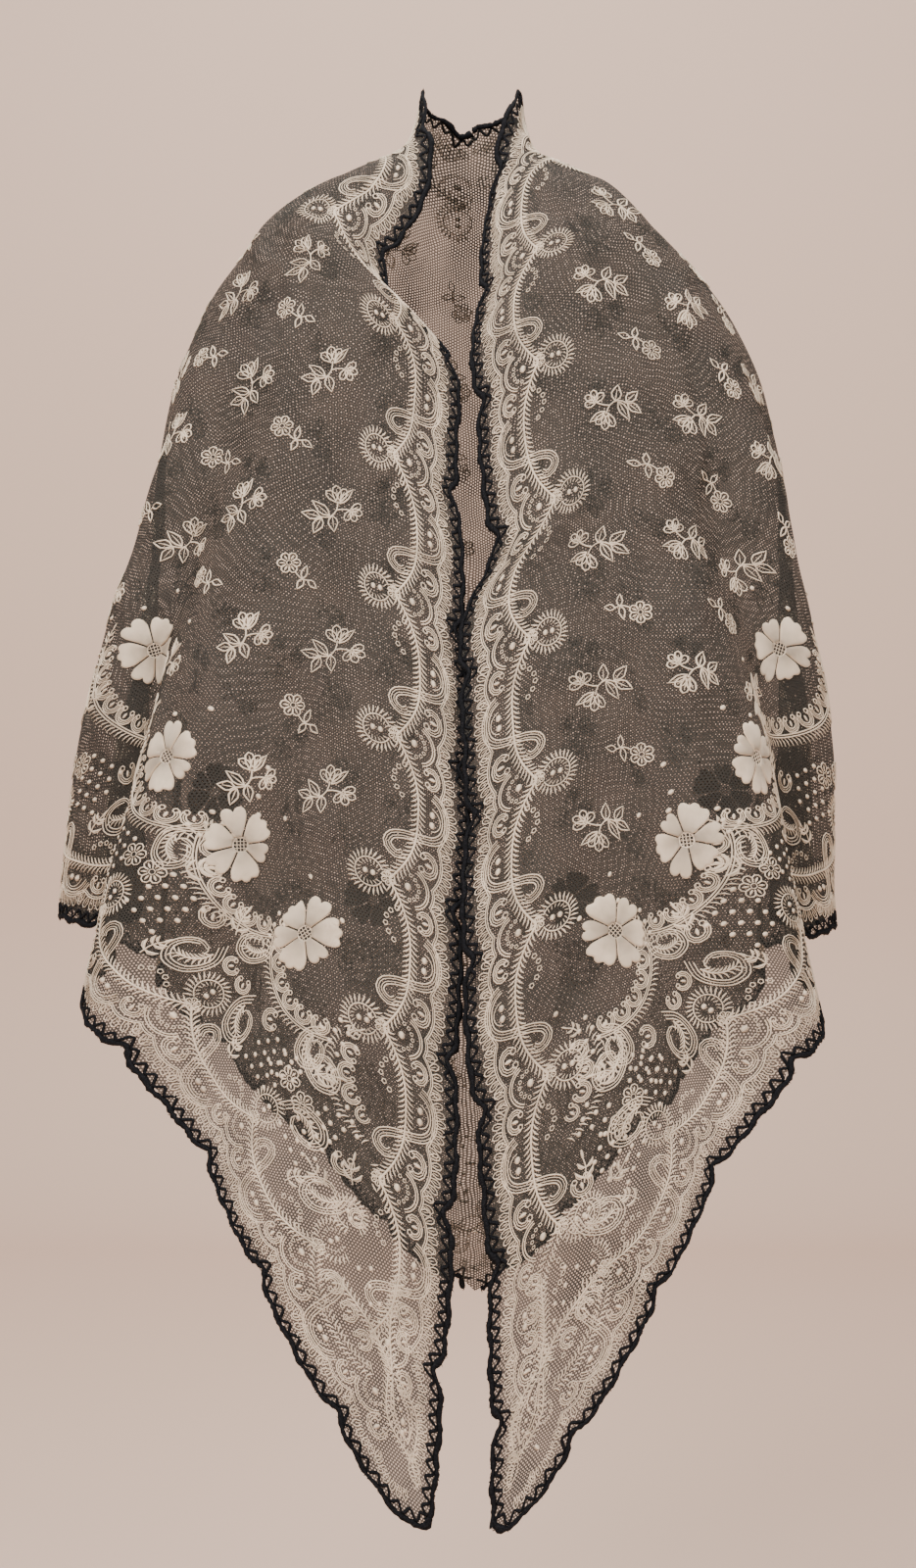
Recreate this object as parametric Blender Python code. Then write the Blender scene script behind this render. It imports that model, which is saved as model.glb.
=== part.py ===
"""A triangular net shawl with a scalloped edging and raised flowers, in the hollow form that it takes when it is worn.

The long edge of the triangle goes round the neck and both fronts, and its ends hang as two points. The third corner hangs
down the back. +Z is up, the fronts face -Y, and the wearer's left side is at +X. The origin is in the middle of the neck,
level with the tops of the shoulders, where the wearer carries the shawl.

The cloth is described on its flat cut: "along" runs along the long edge from the middle of the neck, and "inward" runs
square to it into the cloth. Every piece is drawn on that flat cut and then carried onto the draped form.
"""

import math

import bmesh
import bpy
import numpy as np
from mathutils import Vector
from mathutils.bvhtree import BVHTree

# The flat cut, in metres
HALF_EDGE = 1.445
DEPTH = 1.24
HEM_BULGE = 0.058
HEM_BULGE_ANGLE = math.radians(4.5)

# The cloth and what is sewn to it
WALL = 0.0012
SEAM_GAP = 0.0004
EDGING_WIDTH = 0.009
SCALLOP_DEPTH = 0.007
SCALLOP_PITCH = 0.150
TIP_REACH = 1.25

# How finely the cloth is divided
ROWS = 21
COLUMNS_A_SIDE = 52
FRONT_PARTS = 3
HEM_PARTS = 2

# One row for each distance from the middle of the neck edge, measured on the cloth: where the front edge, the side and
# the middle of the back are at that distance. x is outwards on each side, and the left front lies over the right by lap.
DRAPE_COLUMNS = ("reach", "edge_x_right", "edge_x_left", "edge_y", "edge_z",
                 "side_x_right", "side_x_left", "side_y", "side_z", "back_y", "back_z", "ridge", "lap")
DRAPE = (
    (0.00, 0.000, 0.000, 0.062, 0.083, 0.000, 0.000, 0.062, 0.083, 0.062, 0.083, 1.0, 0.000),
    (0.05, 0.044, 0.044, 0.042, 0.096, 0.040, 0.038, 0.066, 0.054, 0.072, 0.034, 1.0, 0.000),
    (0.10, 0.050, 0.047, -0.004, 0.104, 0.060, 0.056, 0.055, 0.016, 0.088, -0.013, 1.0, 0.000),
    (0.15, 0.047, 0.037, -0.042, 0.066, 0.092, 0.092, 0.042, -0.002, 0.108, -0.059, 1.0, 0.000),
    (0.20, 0.050, 0.023, -0.066, 0.014, 0.136, 0.140, 0.030, -0.012, 0.126, -0.105, 1.0, 0.000),
    (0.30, 0.086, 0.014, -0.100, -0.080, 0.222, 0.217, 0.015, -0.074, 0.153, -0.202, 0.9, 0.000),
    (0.40, 0.024, 0.008, -0.127, -0.158, 0.276, 0.265, 0.010, -0.146, 0.168, -0.301, 0.7, 0.004),
    (0.50, 0.022, 0.015, -0.148, -0.252, 0.301, 0.295, 0.010, -0.232, 0.180, -0.400, 0.3, 0.007),
    (0.56, 0.019, 0.021, -0.160, -0.310, 0.308, 0.303, 0.010, -0.287, 0.190, -0.459, 0.0, 0.008),
    (0.60, 0.017, 0.022, -0.168, -0.349, 0.311, 0.306, 0.010, -0.325, 0.198, -0.498, -0.2, 0.009),
    (0.64, 0.016, 0.005, -0.177, -0.387, 0.316, 0.309, 0.010, -0.363, 0.207, -0.537, -0.3, 0.009),
    (0.80, 0.011, 0.002, -0.218, -0.539, 0.338, 0.316, 0.010, -0.515, 0.248, -0.692, -0.7, 0.010),
    (1.00, 0.019, 0.001, -0.263, -0.729, 0.358, 0.318, 0.010, -0.705, 0.296, -0.886, -0.8, 0.009),
    (1.20, 0.024, 0.019, -0.300, -0.922, 0.370, 0.334, 0.010, -0.895, 0.333, -1.082, -0.8, 0.006),
    (1.46, 0.042, 0.025, -0.325, -1.180, 0.380, 0.346, 0.010, -1.130, 0.362, -1.340, -0.8, 0.000),
)
RIDGE_SHARPNESS = 0.97
FRONT_PANEL = math.radians(16)

# The folds: the angle on the flat cut where each ridge runs out from the neck, how far it stands out at full
# depth, how far it leans over its neighbour, and the reach where it starts.
FOLD_COLUMNS = ("angle", "height", "lean", "start")
FOLDS_RIGHT = (
    (-12, 0.0010, 0.000, 0.45),
    (2, 0.0015, 0.000, 0.45),
    (16, 0.0200, 0.016, 0.42),
    (31, 0.0340, 0.018, 0.38),
    (47, 0.0260, 0.007, 0.30),
    (62, 0.0240, 0.006, 0.26),
    (77, 0.0220, 0.006, 0.24),
    (92, 0.0200, 0.004, 0.24),
)
FOLDS_LEFT = (
    (-12, 0.0010, 0.000, 0.45),
    (2, 0.0015, 0.000, 0.45),
    (15, 0.0180, 0.014, 0.42),
    (30, 0.0270, 0.015, 0.38),
    (46, 0.0240, 0.005, 0.30),
    (62, 0.0210, 0.004, 0.26),
    (77, 0.0220, 0.006, 0.24),
    (92, 0.0200, 0.004, 0.24),
)
FOLD_FULL = 1.05

# The raised flowers: where each lies on the flat cut, and how far it is turned
FLOWER_COLUMNS = ("along", "inward", "turn")
FLOWERS = (
    (1.005, 0.138, 20),
    (0.932, 0.215, -15),
    (0.850, 0.266, 10),
    (0.700, 0.340, -20),
    (0.330, 0.660, 15),
    (0.120, 0.790, -10),
)
FLOWER_RADIUS = 0.036
FLOWER_PETALS = 6
FLOWER_THICKNESS = 0.0012
FLOWER_RINGS = (0.34, 0.67, 1.0)
PETAL_NOTCH = 0.18
PANEL_REACH = 0.03

COLOURS = {
    "net": ((0.055, 0.054, 0.060), 0.75),
    "edging": ((0.010, 0.010, 0.012), 0.6),
    "flower": ((0.78, 0.70, 0.58), 0.7),
}


def clear_scene():
    for old in list(bpy.data.objects):
        bpy.data.objects.remove(old, do_unlink=True)


def through(table, names, name, reach):
    """A smooth curve through one column of a table, read at each reach."""
    rows = np.array(table)
    x, y = rows[:, 0], rows[:, names.index(name)]
    slope = np.gradient(y, x)
    i = np.clip(np.searchsorted(x, reach, side="right") - 1, 0, len(x) - 2)
    step = x[i + 1] - x[i]
    t = np.clip((reach - x[i]) / step, 0, 1)
    return (
        y[i] * (1 + 2 * t) * (1 - t) ** 2
        + slope[i] * step * t * (1 - t) ** 2
        + y[i + 1] * t * t * (3 - 2 * t)
        + slope[i + 1] * step * t * t * (t - 1)
    )


def smooth(low, high, x):
    t = np.clip((x - low) / (high - low), 0, 1)
    return t * t * (3 - 2 * t)


def three_way(edge, side, back, sine):
    """A value that is edge, side and back where the sine is 0, root half and 1, with no kink at the neck."""
    linear = (2 * (side - edge) - (back - edge)) / (math.sqrt(2) - 1)
    return edge + linear * sine + (back - edge - linear) * sine * sine


def ring_point(reach, turn, left):
    """The unfolded form, at a distance and an angle from the middle of the neck edge; left is True on the +X side."""
    part = "left" if left else "right"
    edge_x = through(DRAPE, DRAPE_COLUMNS, "edge_x_" + part, reach)
    side_x = through(DRAPE, DRAPE_COLUMNS, "side_x_" + part, reach)
    value = {n: through(DRAPE, DRAPE_COLUMNS, n, reach) for n in DRAPE_COLUMNS[3:]}
    sine = np.sin(turn)
    wide = side_x - edge_x * math.sqrt(0.5)
    round_arch = np.sin(2 * turn)
    sharp_arch = np.arcsin(RIDGE_SHARPNESS * round_arch) / math.asin(RIDGE_SHARPNESS)
    x = wide * (round_arch + value["ridge"] * (sharp_arch - round_arch)) + edge_x * np.cos(turn)
    edge_y = value["edge_y"] - (value["lap"] if left else 0)
    y = three_way(edge_y, value["side_y"], value["back_y"], sine)
    z = three_way(value["edge_z"], value["side_z"], value["back_z"], sine)
    return np.stack([x if left else -x, y, z], axis=-1)


def turns_table(left):
    """For steps of reach and of angle on the flat cut, the angle on the ring that takes up that much cloth.
    The front panel lies smooth, and the fullness is left to the side and the back."""
    reaches = np.linspace(0.004, 1.46, 120)
    angles = np.linspace(0, math.pi / 2, 91)
    rows = []
    for reach in reaches:
        turn = np.linspace(0, math.pi / 2, 361)
        ring = ring_point(np.full_like(turn, reach), turn, left)
        length = np.concatenate([[0], np.cumsum(np.linalg.norm(np.diff(ring, axis=0), axis=1))])
        slack = length[-1] - reach * math.pi / 2
        taken = reach * angles + slack * smooth(FRONT_PANEL, math.pi / 2, angles)
        rows.append(np.interp(taken, length, turn))
    return reaches, angles, np.array(rows)


TURNS = {left: turns_table(left) for left in (False, True)}


def ring_turn(reach, angle, left):
    reaches, angles, table = TURNS[left]
    u = np.clip((reach - reaches[0]) / (reaches[1] - reaches[0]), 0, len(reaches) - 1.001)
    v = np.clip(angle / angles[1], 0, len(angles) - 1.001)
    i, j = u.astype(int), v.astype(int)
    u, v = u - i, v - j
    low = table[i, j] * (1 - v) + table[i, j + 1] * v
    high = table[i + 1, j] * (1 - v) + table[i + 1, j + 1] * v
    return low * (1 - u) + high * u


def fold_wave(reach, angle, left):
    """How far the folds move the cloth outwards and along the ring."""
    folds = np.array(FOLDS_LEFT if left else FOLDS_RIGHT)
    degrees = np.degrees(angle)
    ridge = np.interp(degrees, folds[:, 0], np.arange(len(folds)))
    height, lean, start = (
        through(folds, FOLD_COLUMNS, n, degrees) for n in FOLD_COLUMNS[1:]
    )
    growth = smooth(start, FOLD_FULL, reach) ** 0.8
    phase = 2 * math.pi * ridge
    return height * growth * np.cos(phase), lean * growth * np.sin(phase)


def draped_side(reach, angle, left):
    """The folded form of one side."""
    step = 0.002

    def base(r, a):
        return ring_point(r, ring_turn(r, a, left), left)

    here = base(reach, angle)
    around = base(reach, np.clip(angle + step, 0, math.pi / 2)) - base(reach, np.clip(angle - step, 0, math.pi / 2))
    down = base(reach + step, angle) - base(np.maximum(reach - step, 0), angle)
    around /= np.maximum(np.linalg.norm(around, axis=-1, keepdims=True), 1e-9)
    down /= np.maximum(np.linalg.norm(down, axis=-1, keepdims=True), 1e-9)
    out = np.cross(down, around) if left else np.cross(around, down)
    out /= np.maximum(np.linalg.norm(out, axis=-1, keepdims=True), 1e-9)
    outward, along = fold_wave(reach, angle, left)
    return here + out * outward[..., None] + around * along[..., None]


def drape(along, inward):
    """The place in the draped form of points on the flat cut."""
    along, inward = np.broadcast_arrays(np.asarray(along, float), np.asarray(inward, float))
    reach = np.hypot(along, inward)
    angle = np.arctan2(inward, np.abs(along))
    left = (along >= 0)[..., None]
    return np.where(left, draped_side(reach, angle, True), draped_side(reach, angle, False))


def drape_normal(along, inward):
    """The direction out of the draped cloth, away from the wearer."""
    step = 0.002
    a = drape(along + step, inward) - drape(along - step, inward)
    b = drape(along, inward + step) - drape(along, np.maximum(inward - step, 0))
    n = np.cross(a, b)
    return n / np.linalg.norm(n, axis=-1, keepdims=True)


def hem_reach(angle):
    """The distance from the middle of the neck edge to the hem, which is rounded out a little near each tip."""
    straight = 1 / (np.abs(np.cos(angle)) / HALF_EDGE + np.abs(np.sin(angle)) / DEPTH)
    share = np.arcsin(np.clip(np.abs(np.sin(angle)), 0, 1)) / HEM_BULGE_ANGLE
    return straight + HEM_BULGE * (share * np.exp(1 - share)) ** 0.8


def material(name):
    colour, roughness = COLOURS[name]
    made = bpy.data.materials.new(name)
    made.use_nodes = True
    shader = made.node_tree.nodes["Principled BSDF"]
    shader.inputs["Base Color"].default_value = (*colour, 1)
    shader.inputs["Roughness"].default_value = roughness
    shader.inputs["Metallic"].default_value = 0.0
    return made


def add_object(name, bm, finish):
    mesh = bpy.data.meshes.new(name)
    bm.normal_update()
    bm.to_mesh(mesh)
    bm.free()
    made = bpy.data.objects.new(name, mesh)
    bpy.context.scene.collection.objects.link(made)
    mesh.materials.append(finish)
    mesh.shade_smooth()
    mesh.set_sharp_from_angle(angle=math.radians(50))
    return made


def panel_grid():
    """The flat places of the panel's points: rows out from the neck, columns from the right front edge round the back."""
    share = np.linspace(0, 1, COLUMNS_A_SIDE + 1)
    quarter = (0.35 * share**2.2 + 0.65 * share) * math.pi / 2
    angle = np.concatenate([math.pi - quarter[:-1], quarter[::-1]])
    part = np.linspace(0, 1, ROWS + 1)
    part = 0.25 * part**1.6 + 0.75 * part
    inset = 0.5 * EDGING_WIDTH
    reach = part[:, None] * (hem_reach(angle)[None, :] - inset)
    return reach * np.cos(angle)[None, :], inset + reach * np.sin(angle)[None, :] * (1 - inset)


def closed_wall(outer, inner, pole):
    """A wall between two grids of points. Row 0 is one point, where all the columns meet at the neck edge."""
    bm = bmesh.new()
    rows, columns = outer.shape[:2]
    sheets = []
    for grid in (outer, inner):
        top = bm.verts.new(grid[0, pole])
        sheets.append([[top] * columns] + [[bm.verts.new(p) for p in row] for row in grid[1:]])
    for sheet, turned in zip(sheets, (False, True)):
        for i in range(rows - 1):
            for j in range(columns - 1):
                corners = [sheet[i][j], sheet[i][j + 1], sheet[i + 1][j + 1], sheet[i + 1][j]]
                corners = corners[1:] if i == 0 else corners
                bm.faces.new(corners[::-1] if turned else corners)
    rim = [(i, 0) for i in range(rows - 1, 0, -1)] + [(0, 0)] + [(i, columns - 1) for i in range(1, rows)]
    rim += [(rows - 1, j) for j in range(columns - 2, 0, -1)]
    out, back = sheets
    for (i, j), (k, m) in zip(rim, rim[1:] + rim[:1]):
        bm.faces.new([out[i][j], back[i][j], back[k][m], out[k][m]])
    bmesh.ops.triangulate(bm, faces=bm.faces[:])
    bmesh.ops.recalc_face_normals(bm, faces=bm.faces[:])
    return bm, rim


def make_panel():
    """The net panel, and the points round its border from which the edging is made."""
    along, inward = panel_grid()
    place, normal = drape(along, inward), drape_normal(along, inward)
    outer, inner = place + normal * WALL / 2, place - normal * WALL / 2
    bm, rim = closed_wall(outer, inner, COLUMNS_A_SIDE)
    add_object("net_panel", bm, material("net"))
    border = [(place[i, j], normal[i, j]) for i, j in rim]
    return border


def scallop(length):
    """The share of a scallop's depth at a length along the edging, from its cusp to its crest."""
    return np.abs(np.cos(math.pi * length / SCALLOP_PITCH)) ** 0.6


def make_edging(border):
    """A scalloped strip sewn round the whole border, made from the panel's own border points."""
    count = len(border)
    points = np.array([p for p, n in border])
    normals = np.array([n for p, n in border])
    after, before = np.roll(points, -1, axis=0), np.roll(points, 1, axis=0)

    def outward(towards):
        side = np.cross(towards, normals)
        return side / np.linalg.norm(side, axis=1, keepdims=True)

    ahead = outward(after - points)
    side = ahead + outward(points - before)
    side /= np.linalg.norm(side, axis=1, keepdims=True)
    corner = 1 / np.clip((side * ahead).sum(axis=1), 0.3, 1)
    stations, length = [], 0.0
    for i in range(count):
        j = (i + 1) % count
        parts = FRONT_PARTS if i < 2 * ROWS else HEM_PARTS
        for part in range(parts):
            f = part / parts
            p, n, s = ((1 - f) * v[i] + f * v[j] for v in (points, normals, side))
            grow = (1 - f) * corner[i] + f * corner[j]
            s = s / np.linalg.norm(s)
            n = n / np.linalg.norm(n)
            stations.append((p, n, s, grow, length + f * np.linalg.norm(points[j] - points[i])))
        length += np.linalg.norm(points[j] - points[i])
    waves = round(length / SCALLOP_PITCH)
    bm = bmesh.new()
    rings = []
    for p, n, s, grow, at in stations:
        width = (EDGING_WIDTH + SCALLOP_DEPTH * scallop(at / length * waves * SCALLOP_PITCH)) * min(grow, TIP_REACH)
        near, far = p + s * SEAM_GAP * grow, p + s * (SEAM_GAP * grow + width)
        half = n * WALL / 2
        rings.append([bm.verts.new(q) for q in (near + half, far + half, far - half, near - half)])
    for ring, following in zip(rings, rings[1:] + rings[:1]):
        for k in range(4):
            m = (k + 1) % 4
            bm.faces.new([ring[k], ring[m], following[m], following[k]])
    bmesh.ops.triangulate(bm, faces=bm.faces[:])
    bmesh.ops.recalc_face_normals(bm, faces=bm.faces[:])
    add_object("edging", bm, material("edging"))


def even_offsets(along, inward, offsets):
    """Offsets on the flat cut that come out true to size where the draped cloth is eased or stretched."""
    step = 0.004
    a = (drape(along + step, inward) - drape(along - step, inward)) / (2 * step)
    b = (drape(along, inward + step) - drape(along, inward - step)) / (2 * step)
    jacobian = np.stack([a, b], axis=1)
    value, vector = np.linalg.eigh(jacobian.T @ jacobian)
    return (vector / np.sqrt(value)) @ vector.T @ offsets


def flower_outline(turn, shares, petal_points):
    """The petalled outline of a flower on the flat cut, as rings of points at shares of its radius."""
    around = np.linspace(0, 2 * math.pi, petal_points * FLOWER_PETALS, endpoint=False)
    petal = 1 - PETAL_NOTCH + PETAL_NOTCH * np.abs(np.cos(around * FLOWER_PETALS / 2)) ** 0.7
    spin = around + math.radians(turn)
    return [FLOWER_RADIUS * share * petal * np.array([np.cos(spin), np.sin(spin)]) for share in shares]


def on_panel(panel, along, inward):
    """Where the panel's outer face lies at points of the flat cut, and the direction out of it."""
    places = []
    for place, out in zip(drape(along, inward), drape_normal(along, inward)):
        out = Vector(out)
        start = Vector(place) + out * PANEL_REACH
        places.append((panel.ray_cast(start, -out)[0], out))
    return places


def flower_triangles(count):
    """The corners of the triangles over a flower's face: its middle is corner 0, and the rings follow one another."""
    triangles = [(0, 1 + k, 1 + (k + 1) % count) for k in range(count)]
    for ring in range(len(FLOWER_RINGS) - 1):
        for k in range(count):
            near, beside = 1 + ring * count + k, 1 + ring * count + (k + 1) % count
            triangles += [(near, near + count, beside + count), (near, beside + count, beside)]
    return triangles


def make_flower(name, along, inward, turn, finish, panel):
    """A raised flower laid on the outside of the panel, as close as the folds under it let it lie."""
    flat = [(np.array([along]), np.array([inward]))]
    for ring in flower_outline(turn, FLOWER_RINGS, 4):
        x, y = even_offsets(along, inward, np.array(ring))
        flat.append((along + x, inward + y))
    places = [place for ring in flat for place in on_panel(panel, *ring)]
    count = len(flat[1][0])
    triangles = flower_triangles(count)
    base = BVHTree.FromPolygons([place for place, out in places], triangles)
    proud = 0
    for ring in flower_outline(turn, np.linspace(0.05, 1, 25), 20):
        x, y = even_offsets(along, inward, np.array(ring))
        for place, out in on_panel(panel, along + x, inward + y):
            distance = base.ray_cast(place + out * PANEL_REACH, -out)[3]
            proud = max(proud, (distance or 0) - PANEL_REACH)
    bm = bmesh.new()
    faces = []
    for height in (proud + SEAM_GAP + FLOWER_THICKNESS, proud + SEAM_GAP):
        corners = [bm.verts.new(place + out * height) for place, out in places]
        for triangle in triangles:
            bm.faces.new([corners[k] for k in triangle])
        faces.append(corners)
    rim = range(1 + count * (len(FLOWER_RINGS) - 1), 1 + count * len(FLOWER_RINGS))
    for k, m in zip(rim, [*rim[1:], rim[0]]):
        bm.faces.new([faces[0][k], faces[1][k], faces[1][m]])
        bm.faces.new([faces[0][k], faces[1][m], faces[0][m]])
    bmesh.ops.recalc_face_normals(bm, faces=bm.faces[:])
    add_object(name, bm, finish)


def make_flowers():
    panel_mesh = bpy.data.objects["net_panel"].data
    panel = BVHTree.FromPolygons([v.co for v in panel_mesh.vertices], [p.vertices for p in panel_mesh.polygons])
    finish = material("flower")
    for side, sign in (("left", 1), ("right", -1)):
        for number, (along, inward, turn) in enumerate(FLOWERS, start=1):
            make_flower(f"flower_{side}_{number}", sign * along, inward, sign * turn, finish, panel)


def main():
    clear_scene()
    border = make_panel()
    make_edging(border)
    make_flowers()


main()
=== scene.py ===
import math

import bmesh
import bpy
import numpy as np
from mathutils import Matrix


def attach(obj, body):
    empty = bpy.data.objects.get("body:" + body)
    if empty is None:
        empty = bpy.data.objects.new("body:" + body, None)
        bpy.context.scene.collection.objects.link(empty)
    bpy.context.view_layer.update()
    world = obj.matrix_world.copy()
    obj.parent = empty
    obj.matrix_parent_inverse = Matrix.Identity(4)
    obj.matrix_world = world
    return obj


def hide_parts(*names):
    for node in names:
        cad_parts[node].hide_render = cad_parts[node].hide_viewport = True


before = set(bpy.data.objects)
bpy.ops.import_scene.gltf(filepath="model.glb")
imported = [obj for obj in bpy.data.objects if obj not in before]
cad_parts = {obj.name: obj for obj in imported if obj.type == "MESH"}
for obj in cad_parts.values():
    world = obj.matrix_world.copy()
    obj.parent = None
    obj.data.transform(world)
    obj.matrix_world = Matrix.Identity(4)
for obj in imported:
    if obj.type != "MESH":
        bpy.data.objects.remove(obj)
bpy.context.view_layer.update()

# The net panel
# One triangle of soft black machine net with hexagonal holes, cut in one piece. Its long edge goes round the neck and
# down both fronts. It is never fastened: it hangs in soft folds, with a few old creases from storage.

HALF_EDGE = 1.445
DEPTH = 1.24
HEM_BULGE = 0.058
HEM_BULGE_ANGLE = math.radians(4.5)
SEWN_LINE = 0.0045
NET_PITCH = 0.0025
NET_COLOUR = (0.020, 0.017, 0.014)

# One row for each distance from the middle of the neck edge, measured on the cloth: where the front edge, the side and
# the middle of the back are at that distance. The left front lies over the right by lap.
DRAPE_COLUMNS = ("reach", "edge_x_right", "edge_x_left", "edge_y", "edge_z",
                 "side_x_right", "side_x_left", "side_y", "side_z", "back_y", "back_z", "ridge", "lap")
DRAPE = (
    (0.00, 0.000, 0.000, 0.062, 0.083, 0.000, 0.000, 0.062, 0.083, 0.062, 0.083, 1.0, 0.000),
    (0.05, 0.044, 0.044, 0.042, 0.096, 0.040, 0.038, 0.066, 0.054, 0.072, 0.034, 1.0, 0.000),
    (0.10, 0.050, 0.047, -0.004, 0.104, 0.060, 0.056, 0.055, 0.016, 0.088, -0.013, 1.0, 0.000),
    (0.15, 0.047, 0.037, -0.042, 0.066, 0.092, 0.092, 0.042, -0.002, 0.108, -0.059, 1.0, 0.000),
    (0.20, 0.050, 0.023, -0.066, 0.014, 0.136, 0.140, 0.030, -0.012, 0.126, -0.105, 1.0, 0.000),
    (0.30, 0.086, 0.014, -0.100, -0.080, 0.222, 0.217, 0.015, -0.074, 0.153, -0.202, 0.9, 0.000),
    (0.40, 0.024, 0.008, -0.127, -0.158, 0.276, 0.265, 0.010, -0.146, 0.168, -0.301, 0.7, 0.004),
    (0.50, 0.022, 0.015, -0.148, -0.252, 0.301, 0.295, 0.010, -0.232, 0.180, -0.400, 0.3, 0.007),
    (0.56, 0.019, 0.021, -0.160, -0.310, 0.308, 0.303, 0.010, -0.287, 0.190, -0.459, 0.0, 0.008),
    (0.60, 0.017, 0.022, -0.168, -0.349, 0.311, 0.306, 0.010, -0.325, 0.198, -0.498, -0.2, 0.009),
    (0.64, 0.016, 0.005, -0.177, -0.387, 0.316, 0.309, 0.010, -0.363, 0.207, -0.537, -0.3, 0.009),
    (0.80, 0.011, 0.002, -0.218, -0.539, 0.338, 0.316, 0.010, -0.515, 0.248, -0.692, -0.7, 0.010),
    (1.00, 0.019, 0.001, -0.263, -0.729, 0.358, 0.318, 0.010, -0.705, 0.296, -0.886, -0.8, 0.009),
    (1.20, 0.024, 0.019, -0.300, -0.922, 0.370, 0.334, 0.010, -0.895, 0.333, -1.082, -0.8, 0.006),
    (1.46, 0.042, 0.025, -0.325, -1.180, 0.380, 0.346, 0.010, -1.130, 0.362, -1.340, -0.8, 0.000),
)
RIDGE_SHARPNESS = 0.97
FRONT_PANEL = math.radians(16)

# The folds: the angle on the flat cut where each ridge runs out from the neck, how far it stands out, how far it leans
# over its neighbour, and the reach where it starts.
FOLD_COLUMNS = ("angle", "height", "lean", "start")
FOLDS_RIGHT = (
    (-12, 0.0010, 0.000, 0.45),
    (2, 0.0015, 0.000, 0.45),
    (16, 0.0200, 0.016, 0.42),
    (31, 0.0340, 0.018, 0.38),
    (47, 0.0260, 0.007, 0.30),
    (62, 0.0240, 0.006, 0.26),
    (77, 0.0220, 0.006, 0.24),
    (92, 0.0200, 0.004, 0.24),
)
FOLDS_LEFT = (
    (-12, 0.0010, 0.000, 0.45),
    (2, 0.0015, 0.000, 0.45),
    (15, 0.0180, 0.014, 0.42),
    (30, 0.0270, 0.015, 0.38),
    (46, 0.0240, 0.005, 0.30),
    (62, 0.0210, 0.004, 0.26),
    (77, 0.0220, 0.006, 0.24),
    (92, 0.0200, 0.004, 0.24),
)
FOLD_FULL = 1.05

# The smaller creases, on the flat cut. Each row: side, along, inward, to along, to inward, half width, height
CREASES = (
    (-1, 0.30, 0.165, 0.68, 0.205, 0.007, 0.0030),
    (-1, 0.66, 0.325, 0.98, 0.262, 0.008, 0.0035),
    (-1, 0.19, 0.030, 0.25, 0.052, 0.006, -0.0035),
    (-1, 0.25, 0.070, 0.31, 0.100, 0.006, -0.0030),
    (-1, 0.10, 0.060, 0.36, 0.200, 0.012, 0.0050),
    (-1, 0.34, 0.060, 0.62, 0.140, 0.014, -0.0030),
    (1, 0.27, 0.205, 0.67, 0.225, 0.007, 0.0030),
    (1, 0.66, 0.226, 0.95, 0.220, 0.008, 0.0030),
    (1, 0.12, 0.022, 0.30, 0.024, 0.005, 0.0030),
    (1, 0.21, 0.062, 0.29, 0.090, 0.006, -0.0035),
    (1, 0.12, 0.080, 0.34, 0.230, 0.012, 0.0050),
    (1, 0.36, 0.080, 0.60, 0.150, 0.014, -0.0030),
    (-1, 0.08, 0.130, 0.22, 0.420, 0.012, 0.0045),
    (1, 0.07, 0.120, 0.20, 0.460, 0.013, 0.0045),
    (1, 0.18, 0.560, 0.16, 0.940, 0.010, 0.0035),
    (-1, 0.30, 0.520, 0.27, 0.880, 0.010, 0.0035),
    (-1, 0.45, 0.350, 0.52, 0.620, 0.012, -0.0035),
    (1, 0.47, 0.340, 0.50, 0.640, 0.012, -0.0035),
)
# Slow unevenness all over: waves to the metre along and inward, their phase, and their height
UNEVEN = (
    (3.1, 4.7, 0.3, 0.0011),
    (7.3, -3.9, 1.9, 0.0008),
    (-5.7, 8.9, 4.1, 0.0006),
    (12.1, 6.3, 2.6, 0.0004),
)


def column(table, names, name, at):
    """A smooth curve through one column of a table, read at each place of its first column."""
    rows = np.array(table)
    x, y = rows[:, 0], rows[:, names.index(name)]
    slope = np.gradient(y, x)
    i = np.clip(np.searchsorted(x, at, side="right") - 1, 0, len(x) - 2)
    step = x[i + 1] - x[i]
    t = np.clip((at - x[i]) / step, 0, 1)
    return (
        y[i] * (1 + 2 * t) * (1 - t) ** 2
        + slope[i] * step * t * (1 - t) ** 2
        + y[i + 1] * t * t * (3 - 2 * t)
        + slope[i + 1] * step * t * t * (t - 1)
    )


def ease(low, high, x):
    t = np.clip((x - low) / (high - low), 0, 1)
    return t * t * (3 - 2 * t)


def from_edge_to_back(edge, side, back, sine):
    linear = (2 * (side - edge) - (back - edge)) / (math.sqrt(2) - 1)
    return edge + linear * sine + (back - edge - linear) * sine * sine


def ring(reach, turn, left):
    """The unfolded cloth at a distance and a turn from the front edge; left is True on the wearer's left."""
    part = "left" if left else "right"
    edge_x = column(DRAPE, DRAPE_COLUMNS, "edge_x_" + part, reach)
    side_x = column(DRAPE, DRAPE_COLUMNS, "side_x_" + part, reach)
    at = {name: column(DRAPE, DRAPE_COLUMNS, name, reach) for name in DRAPE_COLUMNS[3:]}
    sine = np.sin(turn)
    round_arch = np.sin(2 * turn)
    sharp_arch = np.arcsin(RIDGE_SHARPNESS * round_arch) / math.asin(RIDGE_SHARPNESS)
    wide = side_x - edge_x * math.sqrt(0.5)
    x = wide * (round_arch + at["ridge"] * (sharp_arch - round_arch)) + edge_x * np.cos(turn)
    edge_y = at["edge_y"] - (at["lap"] if left else 0)
    y = from_edge_to_back(edge_y, at["side_y"], at["back_y"], sine)
    z = from_edge_to_back(at["edge_z"], at["side_z"], at["back_z"], sine)
    return np.stack([x if left else -x, y, z], axis=-1)


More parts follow.
